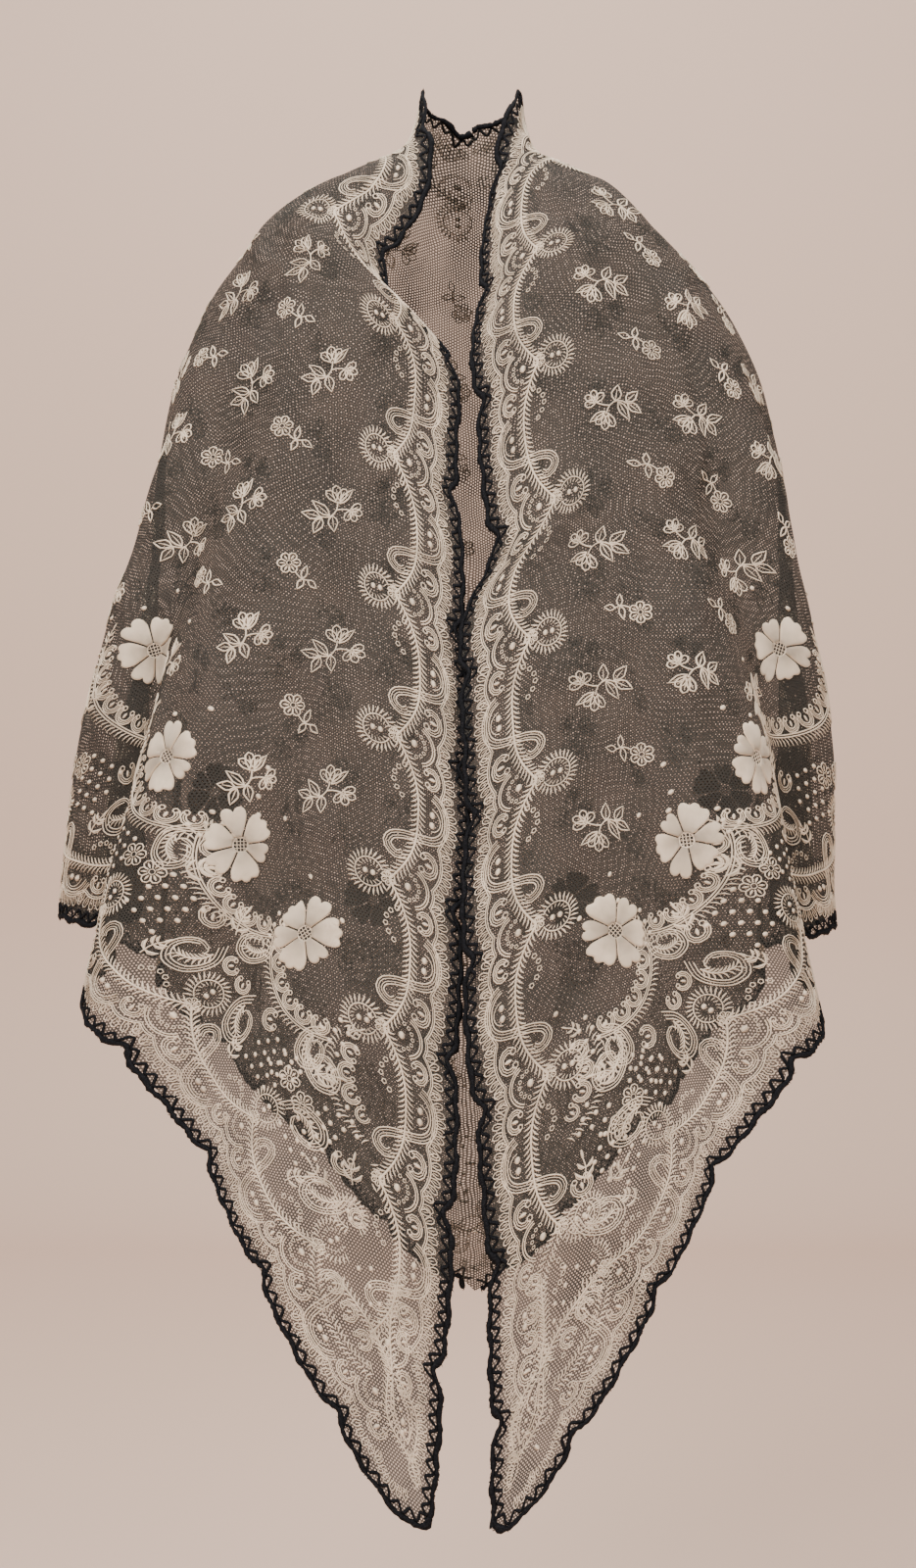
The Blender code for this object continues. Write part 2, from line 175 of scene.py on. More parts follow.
def cloth_turns(left):
    """The turn round the wearer for steps of reach and of angle on the flat cut. The front panel lies smooth, and the
    fullness is left to the side and the back."""
    reaches = np.linspace(0.004, 1.46, 120)
    angles = np.linspace(0, math.pi / 2, 91)
    rows = []
    for reach in reaches:
        turn = np.linspace(0, math.pi / 2, 361)
        round_it = ring(np.full_like(turn, reach), turn, left)
        length = np.concatenate([[0], np.cumsum(np.linalg.norm(np.diff(round_it, axis=0), axis=1))])
        slack = length[-1] - reach * math.pi / 2
        taken = reach * angles + slack * ease(FRONT_PANEL, math.pi / 2, angles)
        rows.append(np.interp(taken, length, turn))
    return reaches, angles, np.array(rows)


TURNS = {left: cloth_turns(left) for left in (False, True)}


def between(rows, u, v):
    """The values between the points of a grid, at fractional rows and columns."""
    u = np.clip(u, 0, rows.shape[0] - 1.001)
    v = np.clip(v, 0, rows.shape[1] - 1.001)
    i, j = u.astype(int), v.astype(int)
    u, v = u - i, v - j
    if rows.ndim == 3:
        u, v = u[..., None], v[..., None]
    low = rows[i, j] * (1 - v) + rows[i, j + 1] * v
    high = rows[i + 1, j] * (1 - v) + rows[i + 1, j + 1] * v
    return low * (1 - u) + high * u


def unfolded(reach, angle, left):
    reaches, angles, rows = TURNS[left]
    turn = between(rows, (reach - reaches[0]) / (reaches[1] - reaches[0]), angle / angles[1])
    return ring(reach, turn, left)


def unit(vectors):
    return vectors / np.maximum(np.linalg.norm(vectors, axis=-1, keepdims=True), 1e-9)


def folded(reach, angle, left):
    """The cloth with its large folds."""
    step = 0.002
    around = unit(unfolded(reach, np.clip(angle + step, 0, math.pi / 2), left)
                  - unfolded(reach, np.clip(angle - step, 0, math.pi / 2), left))
    down = unit(unfolded(reach + step, angle, left) - unfolded(np.maximum(reach - step, 0), angle, left))
    out = unit(np.cross(down, around) if left else np.cross(around, down))
    folds = np.array(FOLDS_LEFT if left else FOLDS_RIGHT)
    degrees = np.degrees(angle)
    phase = 2 * math.pi * np.interp(degrees, folds[:, 0], np.arange(len(folds)))
    height, lean, start = (column(folds, FOLD_COLUMNS, name, degrees) for name in FOLD_COLUMNS[1:])
    growth = ease(start, FOLD_FULL, reach) ** 0.8
    outward, sideways = height * growth * np.cos(phase), lean * growth * np.sin(phase)
    return unfolded(reach, angle, left) + out * outward[..., None] + around * sideways[..., None]


def small_relief(along, inward):
    """The height of the creases and of the slow unevenness, at points of the flat cut."""
    height = np.zeros_like(along)
    for side, along_1, inward_1, along_2, inward_2, half_width, depth in CREASES:
        run = np.array([along_2 - along_1, inward_2 - inward_1])
        x, y = side * along - along_1, inward - inward_1
        share = (x * run[0] + y * run[1]) / (run @ run)
        off = (x * run[1] - y * run[0]) / math.hypot(*run)
        bow = 0.012 * np.sin(math.pi * np.clip(share, 0, 1))
        fade = ease(-0.12, 0.25, share) * (1 - ease(0.75, 1.12, share))
        height += depth * fade * np.exp(-(((off - bow) / half_width) ** 2))
    reach = np.hypot(along, inward)
    for waves_along, waves_inward, phase, depth in UNEVEN:
        height += depth * ease(0.1, 0.5, reach) * np.sin(
            2 * math.pi * (waves_along * along + waves_inward * inward) + phase)
    return height


GRID_REACH = np.linspace(0, 1.458, 470)
GRID_ANGLE = np.radians(np.linspace(0, 90, 451))


def directions_out(place, left):
    down, around = np.gradient(place, axis=0), np.gradient(place, axis=1)
    out = unit(np.cross(down, around) if left else np.cross(around, down))
    out[:3] = out[3].mean(axis=0) / np.linalg.norm(out[3].mean(axis=0))
    return out


def drape_grid(left):
    """The cloth's places and the directions out of it, for a grid of reaches and angles on the flat cut."""
    reach, angle = np.meshgrid(GRID_REACH, GRID_ANGLE, indexing="ij")
    place = folded(reach, angle, left)
    along = reach * np.cos(angle) * (1 if left else -1)
    place += directions_out(place, left) * small_relief(along, reach * np.sin(angle))[..., None]
    return place, directions_out(place, left)


CLOTH = {left: drape_grid(left) for left in (False, True)}


def on_cloth(along, inward):
    along, inward = np.broadcast_arrays(np.asarray(along, float), np.asarray(inward, float))
    reach, angle = np.hypot(along, inward), np.arctan2(inward, np.abs(along))
    u, v = reach / GRID_REACH[1], angle / GRID_ANGLE[1]
    left = (along >= 0)[..., None]
    place = np.where(left, between(CLOTH[True][0], u, v), between(CLOTH[False][0], u, v))
    out = np.where(left, between(CLOTH[True][1], u, v), between(CLOTH[False][1], u, v))
    return place, out


def lay(along, inward, height=0.0):
    """The draped place of points of the flat cut, raised by a height. Past the long edge and past the tips the cloth
    goes on straight."""
    along, inward = np.asarray(along, float), np.asarray(inward, float)
    kept_inward = np.maximum(inward, SEWN_LINE)
    kept_along = np.clip(along, -GRID_REACH[-1] + 0.004, GRID_REACH[-1] - 0.004)
    place, out = on_cloth(kept_along, kept_inward)
    step = 0.003
    edgeward = unit(place - on_cloth(kept_along, kept_inward + step)[0])
    tipward = unit(place - on_cloth(kept_along - np.sign(kept_along) * step, kept_inward)[0])
    place = place + edgeward * (kept_inward - inward)[..., None]
    place = place + tipward * np.abs(along - kept_along)[..., None]
    return place + out * np.asarray(height)[..., None]


def hem_reach(angle):
    """The distance from the middle of the neck edge to the hem, which is rounded out a little near each tip."""
    straight = 1 / (np.abs(np.cos(angle)) / HALF_EDGE + np.abs(np.sin(angle)) / DEPTH)
    share = np.arcsin(np.clip(np.abs(np.sin(angle)), 0, 1)) / HEM_BULGE_ANGLE
    return straight + HEM_BULGE * (share * np.exp(1 - share)) ** 0.8


def hem_line():
    """Points along the hem of one half from its tip to the back, their distance along it, and the way inward."""
    angle = np.linspace(0, math.pi / 2, 2001)
    points = hem_reach(angle)[:, None] * np.stack([np.cos(angle), np.sin(angle)], axis=1)
    run = np.gradient(points, axis=0)
    inward = unit(np.stack([-run[:, 1], run[:, 0]], axis=1))
    length = np.concatenate([[0], np.cumsum(np.linalg.norm(np.diff(points, axis=0), axis=1))])
    return points, length, inward


HEM_POINTS, HEM_LENGTHS, HEM_INWARD = hem_line()
HEM_LENGTH = HEM_LENGTHS[-1]
FRONT_REPEATS, HEM_REPEATS = 11, 16
FRONT_REPEAT, HEM_REPEAT = HALF_EDGE / FRONT_REPEATS, HEM_LENGTH / HEM_REPEATS
# Where the repeats of the border start on each half, as a share of one: the left half and the right were worked apart
FRONT = {True: 0.42, False: 0.10}
HEM = {True: 0.70, False: 0.87}
CORD_OUT = 0.0095
NOTCH_DEPTH = 0.0095


def cord_line(length, edge, left):
    """The inset of the cut edge and its cord: a notch beside each wheel, with a slight wave between."""
    repeat = FRONT_REPEAT if edge is FRONT else HEM_REPEAT
    share = length / repeat - edge[left]
    to_notch = np.abs((share + 0.5) % 1 - 0.5) * repeat
    return NOTCH_DEPTH * np.exp(-((to_notch / 0.013) ** 1.5)) + 0.0012 * np.cos(8 * math.pi * share) - CORD_OUT


def put_in_scene(name, mesh):
    mesh.shade_smooth()
    made = bpy.data.objects.new(name, mesh)
    bpy.context.scene.collection.objects.link(made)
    return made


def finished(bm, name):
    mesh = bpy.data.meshes.new(name)
    bm.to_mesh(mesh)
    bm.free()
    return put_in_scene(name, mesh)


def make_net():
    """The panel as one thin sheet with its flat cut kept as its UV map, in metres."""
    bm = bmesh.new()
    bmesh.ops.create_grid(bm, x_segments=336, y_segments=150, size=1)
    flat_map = bm.loops.layers.uv.new("flat")
    share = np.array([v.co[:2] for v in bm.verts]) / 2 + 0.5
    angle, part = math.pi * (1 - share[:, 0]), share[:, 1]
    part = 0.12 * part**2 + 0.88 * part
    far = hem_reach(angle)
    hem_at = np.interp(np.minimum(angle, math.pi - angle), np.linspace(0, math.pi / 2, 2001), HEM_LENGTHS)
    on_left = angle < math.pi / 2
    hem_cord = np.where(on_left, cord_line(hem_at, HEM, True), cord_line(hem_at, HEM, False))
    reach = part * far - hem_cord * ease(0.93, 1, part)
    along, inward = reach * np.cos(angle), reach * np.abs(np.sin(angle))
    front_cord = np.where(on_left, cord_line(np.abs(along), FRONT, True), cord_line(np.abs(along), FRONT, False))
    inward = inward + front_cord * (1 - ease(0, 0.035, inward))
    for vert, place in zip(bm.verts, lay(along, inward)):
        vert.co = place
    bm.verts.index_update()
    for face in bm.faces:
        for loop in face.loops:
            k = loop.vert.index
            loop[flat_map].uv = (along[k], inward[k])
    bmesh.ops.remove_doubles(bm, verts=[v for v, s in zip(bm.verts, share) if s[1] == 0], dist=0.001)
    bm.normal_update()
    if sum(f.normal @ f.calc_center_median() for f in bm.faces) < 0:
        bmesh.ops.reverse_faces(bm, faces=bm.faces)
    return finished(bm, "net")


class Value:
    """A number that changes over a surface, on which sums are written."""

    def __init__(self, finish, socket):
        self.finish, self.socket = finish, socket

    def math(self, operation, *others):
        return self.finish.add("ShaderNodeMath", {"operation": operation}, {0: self, **dict(enumerate(others, 1))})

    def __add__(self, other):
        return self.math("ADD", other)

    def __sub__(self, other):
        return self.math("SUBTRACT", other)

    def __rsub__(self, other):
        return (self * -1.0).math("ADD", other)

    def __mul__(self, other):
        return self.math("MULTIPLY", other)

    __radd__, __rmul__ = __add__, __mul__

    def cosine(self):
        return self.math("COSINE")

    def ramp(self, low, high, to_low=0.0, to_high=1.0):
        sockets = {"Value": self, 1: low, 2: high, 3: to_low, 4: to_high}
        return self.finish.add("ShaderNodeMapRange", {"interpolation_type": "SMOOTHSTEP"}, sockets)


class Finish:
    """A material and its nodes."""

    def __init__(self, name, roughness, **constants):
        self.material = bpy.data.materials.new(name)
        self.material.use_nodes = True
        self.nodes = self.material.node_tree.nodes
        self.links = self.material.node_tree.links
        self.shader = self.nodes["Principled BSDF"]
        self.set({"Roughness": roughness, **{key.replace("_", " "): v for key, v in constants.items()}})

    def fill(self, node, sockets):
        for key, value in sockets.items():
            if isinstance(value, Value):
                self.links.new(value.socket, node.inputs[key])
            else:
                node.inputs[key].default_value = value

    def add(self, kind, settings=None, sockets=None, output=0):
        node = self.nodes.new(kind)
        for key, value in (settings or {}).items():
            setattr(node, key, value)
        self.fill(node, sockets or {})
        return Value(self, node.outputs[output])

    def set(self, sockets):
        self.fill(self.shader, sockets)

    def shades(self, share, dark, light):
        """A colour between two, by a share."""
        sockets = {0: share, 6: (*dark, 1), 7: (*light, 1)}
        return self.add("ShaderNodeMix", {"data_type": "RGBA"}, sockets, output=2)

    def flat_place(self, uv_map):
        """The two coordinates of a UV map."""
        flat = self.add("ShaderNodeUVMap", {"uv_map": uv_map})
        across = self.add("ShaderNodeSeparateXYZ", None, {0: flat})
        return across, Value(self, across.socket.node.outputs[1])

    def noise(self, size, detail=2.0):
        place = self.add("ShaderNodeTexCoord", output=3)
        return self.add("ShaderNodeTexNoise", None, {"Vector": place, "Scale": 1 / size, "Detail": detail})

    def bump(self, height, depth, strength=1.0):
        sockets = {"Height": height, "Distance": depth, "Strength": strength}
        self.set({"Normal": self.add("ShaderNodeBump", None, sockets)})


def net_finish():
    """Twisted black yarn round hexagonal holes, here and there pulled askew. Three sets of waves at 60 degrees give
    the honeycomb."""
    finish = Finish("black net", 0.8, Specular_IOR_Level=0.15)
    u, v = finish.flat_place("flat")
    pull = finish.noise(0.03)
    u, v = u + pull * 0.008, v - pull * 0.006
    turn = 2 * math.pi / NET_PITCH
    waves = (u * turn).cosine()
    for slope in (math.sqrt(0.75), -math.sqrt(0.75)):
        waves = waves + (u * (turn / 2) + v * (turn * slope)).cosine()
    yarn = waves.ramp(1.85, 0.45)
    wear = finish.noise(0.05, 3)
    finish.set({"Alpha": yarn * wear.ramp(0.25, 0.75, 0.84, 0.98)})
    finish.set({"Base Color": finish.shades(wear, NET_COLOUR, (0.044, 0.038, 0.031))})
    finish.bump(yarn, 0.0003)
    return finish.material


net = make_net()
net.data.materials.append(net_finish())
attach(net, "root")
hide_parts("net_panel")

# The black edging
# A thick, hairy black cord is sewn over the cut edge, and a thin one winds in waves on a narrow margin of net inside.
# The edge turns in at a notch beside every wheel of the border.

EDGING_COLOUR = (0.004, 0.004, 0.005)
OUTER_CORD = 0.0028
WAVY_CORD = 0.0015
WAVE = 0.0125
HAIR_EVERY = 0.0034
HAIR_SEED = 11
CORD_STEP = 0.0026


def along_hem(length, inset, left=True):
    """Flat places at a length from the tip along the hem of one half, and an inset from it."""
    points = np.stack([np.interp(length, HEM_LENGTHS, HEM_POINTS[:, k]) for k in (0, 1)], axis=-1)
    inward = np.stack([np.interp(length, HEM_LENGTHS, HEM_INWARD[:, k]) for k in (0, 1)], axis=-1)
    past = np.minimum(length, 0)[..., None] * np.stack([inward[..., 1], -inward[..., 0]], axis=-1)
    places = points + inward * np.asarray(inset)[..., None] + past
    return places * np.array([1 if left else -1, 1])


def along_front(length, inset, left=True):
    """Flat places at a length from the middle of the neck edge and an inset from the long edge."""
    return np.stack([length if left else -length, inset], axis=-1)


def sew(name, threads, finish, tallest, lift=0.0):
    """Threads, each a row of flat places with its half width at each, laid on the cloth as one piece of work."""
    drawing = bpy.data.curves.new(name, "CURVE")
    drawing.dimensions = "3D"
    drawing.bevel_depth = 1.0
    drawing.bevel_resolution = 0
    drawing.use_fill_caps = True
    for places, halves in threads:
        spline = drawing.splines.new("POLY")
        spline.points.add(len(places) - 1)
        rows = np.zeros((len(places), 4))
        rows[:, :2], rows[:, 3] = places, 1
        spline.points.foreach_set("co", rows.ravel())
        spline.points.foreach_set("radius", np.broadcast_to(halves, len(places)).astype(float))
    carrier = bpy.data.objects.new(name, drawing)
    bpy.context.scene.collection.objects.link(carrier)
    shapes = bpy.context.evaluated_depsgraph_get()
    mesh = bpy.data.meshes.new_from_object(carrier.evaluated_get(shapes))
    bpy.data.objects.remove(carrier)
    bpy.data.curves.remove(drawing)
    flat = np.zeros(len(mesh.vertices) * 3)
    mesh.vertices.foreach_get("co", flat)
    flat = flat.reshape(-1, 3)
    height = lift + tallest * np.tanh(flat[:, 2] / tallest)
    mesh.vertices.foreach_set("co", lay(flat[:, 0], flat[:, 1], height).ravel())
    mesh.name = name
    mesh.materials.clear()
    mesh.materials.append(finish)
    made = put_in_scene(name, mesh)
    mesh.update()
    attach(made, "root")
    return made


def edging_finish():
    """Dull black silk, with a fine twist and a little dust."""
    finish = Finish("black cord", 0.85, Specular_IOR_Level=0.1)
    grain = finish.noise(0.0012)
    finish.set({"Base Color": finish.shades(grain.ramp(0.4, 0.8), EDGING_COLOUR, (0.016, 0.015, 0.017))})
    finish.bump(grain, 0.0006)
    return finish.material


def edging_threads():
    hairs = np.random.default_rng(HAIR_SEED)
    outer, wavy = [], []
    for left in (True, False):
        for line, edge, start, end, repeat in (
            (along_front, FRONT, 0.0, HALF_EDGE + 0.006, FRONT_REPEAT),
            (along_hem, HEM, -0.004, HEM_LENGTH, HEM_REPEAT),
        ):
            s = np.arange(start, end, CORD_STEP)
            halves = OUTER_CORD * (1 + 0.2 * hairs.standard_normal(len(s)).clip(-1.6, 1.6))
            outer.append((line(s, cord_line(s, edge, left), left), halves))
            s = np.arange(start, end - 0.004, WAVE / 7)
            swing = 0.0034 * np.sin(2 * math.pi * s / WAVE + 0.9 * np.sin(9 * s))
            wavy.append((line(s, cord_line(s, edge, left) + 0.0068 + swing, left), WAVY_CORD))
            s = np.arange(start, end, HAIR_EVERY)
            root = cord_line(s, edge, left)
            inner = line(s, root + 0.0006, left)
            tips = line(s + hairs.normal(0, 0.0020, len(s)), root - hairs.uniform(0.0020, 0.0040, len(s)), left)
            for a, b in zip(inner, tips):
                outer.append((np.array([a, a * 0.4 + b * 0.6, b]), [0.0006, 0.0005, 0.0001]))
    return outer, wavy


outer_threads, wavy_threads = edging_threads()
black_cord = edging_finish()
outer_cord = sew("edging_outer_cord", outer_threads, black_cord, 0.0022)
wavy_cord = sew("edging_wavy_cord", wavy_threads, black_cord, 0.0012, 0.0006)
for cord in (outer_cord, wavy_cord):
    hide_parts("edging")

# The border embroidery
# Cream cotton worked on the net by hand, about 105 mm wide on all three edges. A feathered vine swings in to a small
# ring and a wheel at each notch. A ribbon arches over two padded dots and crosses the vine, between kidney scrolls, and
# looped petals fan out along the scallops.

CREAM = (0.69, 0.545, 0.40)
CREAM_SHADE = (0.44, 0.345, 0.25)
FINE = 0.00045
LINE = 0.00064
BARB = 0.00095
WORK_HEIGHT = 0.0009
WORK_LIFT = 0.0009
VINE_OUT = 0.040
VINE_SWING = 0.023
BARB_EVERY = 0.0046
WHEEL_IN = 0.081
WHEEL = 0.0205
# The scallops of one repeat: the middle as a share of the repeat, the half width as a share, and the inset of its crown
LOBES = ((0.0, 0.10, 0.0095), (0.21, 0.115, 0.0040), (0.475, 0.160, 0.0005), (0.775, 0.145, 0.0030),
         (1.0, 0.10, 0.0095))
# The middle line of the ribbon: shares of the repeat and insets
RIBBON = ((0.31, 0.0265), (0.335, 0.0200), (0.39, 0.0145), (0.475, 0.0125), (0.555, 0.0155), (0.605, 0.0225),
          (0.630, 0.0330), (0.645, 0.0440), (0.665, 0.0560), (0.700, 0.0645), (0.750, 0.0670), (0.795, 0.0630),
          (0.810, 0.0565), (0.785, 0.0520))
RIBBON_HALF = 0.0034
# Between these lengths the chain of the scroll band meets the vine, and there is no wheel
CHAIN_MEETS = (1.13, 1.24)


def curve_through(points, count):
    """A smooth line through a few points."""
    points = np.array(points, float)
    gone = np.concatenate([[0], np.cumsum(np.linalg.norm(np.diff(points, axis=0), axis=1))])
    table = np.column_stack([gone, points])
    share = np.linspace(0, gone[-1], count)
    return np.stack([column(table, ("gone", "x", "y"), name, share) for name in ("x", "y")], axis=-1)


def beside(places, offset):
    run = unit(np.gradient(places, axis=0))
    return places + offset * np.stack([-run[:, 1], run[:, 0]], axis=-1)


def way(degrees):
    return np.array([math.cos(math.radians(degrees)), math.sin(math.radians(degrees))])


def bent(centre, radius, start, end, count=9, squash=1.0):
    """Points on an arc, between two angles in degrees."""
    angle = np.radians(np.linspace(start, end, count))
    return np.array(centre) + radius * np.stack([np.cos(angle), squash * np.sin(angle)], axis=-1)


def leaf(base, tip, half, bow=0.0, count=4):
    """A leaf or a barb in satin stitch: narrow at both ends and widest in the middle."""
    base, tip = np.array(base, float), np.array(tip, float)
    share = np.linspace(0, 1, count)
    run = tip - base
    aside = np.array([-run[1], run[0]]) * bow
    places = base + share[:, None] * run + np.sin(math.pi * share)[:, None] * aside
    return places, half * (0.35 + 0.65 * np.sin(math.pi * share) ** 0.8)


def dot(centre, radius):
    """A padded round dot in satin stitch."""
    across = np.array([-1, -0.8, -0.35, 0.35, 0.8, 1]) * radius
    halves = np.sqrt(np.maximum(radius**2 - across**2, (0.12 * radius) ** 2))
    return np.array(centre) + np.stack([across, 0 * across], axis=-1), halves


def looped_petal(base, tip, wide, half=FINE):
    """The outline of one petal, from its base round its tip and back."""
    base, tip = np.array(base, float), np.array(tip, float)
    run = tip - base
    aside = np.array([-run[1], run[0]]) / np.linalg.norm(run) * wide / 2
    steps = ((0, 0.45), (0.5, 1), (0.85, 0.75), (1, 0), (0.85, -0.75), (0.5, -1), (0, -0.45))
    return np.array([base + run * a + aside * b for a, b in steps]), half


def leaf_outline(base, tip, wide, half=FINE):
    """The outline of a pointed leaf."""
    base, tip = np.array(base, float), np.array(tip, float)
    run = tip - base
    aside = np.array([-run[1], run[0]]) / np.linalg.norm(run) * wide / 2
    steps = ((0, 0), (0.25, 0.8), (0.5, 1), (0.8, 0.5), (1.04, 0), (0.8, -0.5), (0.5, -1), (0.25, -0.8), (0, 0))
    return np.array([base + run * a + aside * b for a, b in steps]), half


def kidney(centre, radius, facing, squash=1.0):
    """A scroll like a kidney, open on the side that it faces, with a curl at each end."""
    centre = np.array(centre, float)
    threads = [(bent(centre, radius * size, facing + 52, facing + 308, 9, squash), half)
               for size, half in ((1.0, LINE), (0.80, FINE), (0.60, LINE))]
    for turn in (-45, 45):
        curl = centre + way(facing + turn) * radius * 0.74 * np.array([1, squash])
        threads.append((bent(curl, radius * 0.24, 0, 360, 7), LINE))
    threads.append(leaf(centre - way(facing) * radius * 0.38, centre + way(facing) * radius * 0.22, radius * 0.17))
    return threads


def blossom(centre, radius, petals=5, turn=0.0):
    """A small flower of outlined petals round a ring."""
    threads = [(bent(centre, radius * 0.24, 0, 360, 7), FINE)]
    for k in range(petals):
        out = way(360 / petals * k + turn)
        threads.append(looped_petal(centre + out * radius * 0.28, centre + out * radius, radius * 0.70, LINE))
        threads.append(leaf(centre + out * radius * 0.34, centre + out * radius * 0.80, radius * 0.10, count=3))
    return threads


def wheel(centre, radius, joint):
    """A wheel, open towards its joint: a ring with two padded dots in it, and barbs inside and outside the ring."""
    threads = [(bent(centre, radius * 0.62, joint + 24, joint + 336, 21), LINE)]
    threads += [dot(centre + side * way(joint) * radius * 0.17, radius * 0.125) for side in (1, -1)]
    for k in range(24):
        turn = joint + 28 + (304 / 23) * k
        threads.append(leaf(centre + way(turn) * radius * 0.66, centre + way(turn + 7) * radius, BARB, 0.05, count=3))
    for k in range(16):
        turn = joint + 30 + 20 * k
        root, tip = centre + way(turn) * radius * 0.57, centre + way(turn + 10) * radius * 0.38
        threads.append(leaf(root, tip, FINE * 1.1, count=3))
    return threads


def scallop_line(share):
    """The inset of the petals' tips along one repeat."""
    share = np.asarray(share) % 1
    return np.min([inset + 0.0055 * ((share - middle) / half) ** 2 for middle, half, inset in LOBES], axis=0)


def vine_line(share):
    return VINE_OUT + VINE_SWING * (1 - np.sin(math.pi * np.clip(share, 0, 1))) ** 1.4


def feathered(stem, every, length, half, lean=52):
    """A stem with slanting barbs on both sides."""
    gone = np.concatenate([[0], np.cumsum(np.linalg.norm(np.diff(stem, axis=0), axis=1))])
    at = np.arange(every / 2, gone[-1], every)
    roots = np.stack([np.interp(at, gone, stem[:, k]) for k in (0, 1)], axis=-1)
    runs = unit(np.gradient(roots, axis=0))
    threads = [(stem, half * 1.1)]
    for root, run in zip(roots, runs):
        for side in (1, -1):
            c, s = math.cos(math.radians(lean)), side * math.sin(math.radians(lean))
            out = np.array([run[0] * c - run[1] * s, run[0] * s + run[1] * c])
            threads.append(leaf(root + out * length * 0.10, root + out * length, half, -0.10 * side, count=3))
    return threads


def border_repeat(width):
    """One repeat of the border: lengths along the edge from 0 to width, and insets from it."""
    size = np.array([width, 1.0])
    share = np.linspace(0, 1, 29)
    stem = np.stack([share * width, vine_line(share)], axis=-1)
    threads = feathered(stem, BARB_EVERY, 0.0092, BARB)
    ribbon = curve_through(np.array(RIBBON) * size, 30)
    for offset, half in ((-1.0, LINE), (-0.36, FINE * 0.8), (0.36, FINE * 0.8), (1.0, LINE)):
        threads.append((beside(ribbon, offset * RIBBON_HALF), half))
    threads += [dot((0.435 * width, 0.0262), 0.0030), dot((0.505 * width, 0.0262), 0.0030)]
    threads.append((bent((0.47 * width, 0.0285), 0.0105, 190, 350, 9), FINE))
    threads += kidney((0.195 * width, 0.0285), 0.0100, 80, 0.85)
    threads += kidney((0.795 * width, 0.0285), 0.0118, 95, 0.85)
    threads += wheel(np.array([0, WHEEL_IN]), WHEEL, -90)
    threads += blossom(np.array([0, VINE_OUT + VINE_SWING + 0.001]), 0.0062, 6)
    # the dot at the notch, with its string of eyelets and the two arcs round it
    threads.append(dot((0, 0.0460), 0.0033))
    for turn in np.linspace(196, 344, 7):
        threads.append((bent(np.array([0, 0.0470]) + way(turn) * 0.0115, 0.0016, 0, 360, 6), FINE))
    for radius in (0.0160, 0.0182):
        threads.append((bent((0, 0.0440), radius, 200, 340, 13), LINE))
    # the eyelets on the inner side of the vine
    for s, t in ((0.175, 0.0545), (0.205, 0.0600), (0.250, 0.0635), (0.300, 0.0640), (0.350, 0.0610), (0.390, 0.0560)):
        threads.append((bent((s * width, t), 0.0022, 0, 360, 6), FINE * 1.2))
    # the cords along the scallops and the petals
    fine_share = np.linspace(0, 1, 57)
    for inset, half in ((0.0108, LINE), (0.0127, FINE)):
        threads.append((np.stack([fine_share * width, scallop_line(fine_share) + inset], axis=-1), half))
    petals = round(width / 0.0064)
    for k in range(petals):
        s = (k + 0.5) / petals
        slope = (scallop_line(s + 0.01) - scallop_line(s - 0.01)) / (0.02 * width)
        out = np.array([slope, -1]) / math.hypot(slope, 1)
        base = np.array([s * width, scallop_line(s) + 0.0100])
        threads.append(looped_petal(base, base + out * 0.0098, 0.0056, LINE * 0.9))
        threads.append(leaf(base + out * 0.001, base + out * 0.0068, FINE * 1.1, count=3))
    return threads


def to_hem(places):
    """How far flat places lie inside the hem."""
    angle = np.arctan2(places[:, 1], np.abs(places[:, 0]))
    slant = math.atan(HALF_EDGE / DEPTH)
    return (hem_reach(angle) - np.hypot(places[:, 0], places[:, 1])) * np.cos(angle - slant)


def edge_border(left):
    """The border along one half of the long edge, kept where it is nearer to that edge than to the hem."""
    threads = []
    for k in range(-1, FRONT_REPEATS + 1):
        for places, halves in border_repeat(FRONT_REPEAT):
            length = places[:, 0] + (k + FRONT[left]) * FRONT_REPEAT
            if length.min() > CHAIN_MEETS[0] and length.max() < CHAIN_MEETS[1] and places[:, 1].min() > 0.066:
                continue
            moved = along_front(length, places[:, 1], left)
            if length.min() > 0 and (to_hem(moved) > places[:, 1] + 0.0005).all() and length.max() < HALF_EDGE:
                threads.append((moved, halves))
    return threads


def hem_border(left):
    threads = []
    for k in range(-1, HEM_REPEATS + 1):
        for places, halves in border_repeat(HEM_REPEAT):
            length = places[:, 0] + (k + HEM[left]) * HEM_REPEAT
            if length.min() < 0 or length.max() > HEM_LENGTH:
                continue
            moved = along_hem(length, places[:, 1], left)
            if (moved[:, 1] > places[:, 1] + 0.0005).all() and (np.abs(moved[:, 0]) > 0.0005).all():
                if (moved[:, 0] > 0).all() == left:
                    threads.append((moved, halves))
    return threads


def thread_finish(name, twist=0.0011):
    """Cream embroidery cotton: soft and slightly glossy along its stitches, and a little greyer where it is worn."""
    finish = Finish(name, 0.6, Sheen_Weight=0.1, Specular_IOR_Level=0.25)
    worn = finish.noise(0.03, 3)
    finish.set({"Base Color": finish.shades(worn.ramp(0.2, 0.65), CREAM_SHADE, CREAM)})
    finish.bump(finish.noise(twist), 0.0005)
    return finish.material


cotton = thread_finish("cream cotton")
for left, side in ((True, "left"), (False, "right")):
    sew("border_front_" + side, edge_border(left), cotton, WORK_HEIGHT, WORK_LIFT)
    sew("border_hem_" + side, hem_border(left), cotton, WORK_HEIGHT, WORK_LIFT)

# The scroll band
# Inside the hem border runs a chain of deep scallops made of kidney scrolls with a comb of barbs outside. Each cups a
# large flower or a ring of dots. Between it and the border lie fields of dots and large scrolled leaves.

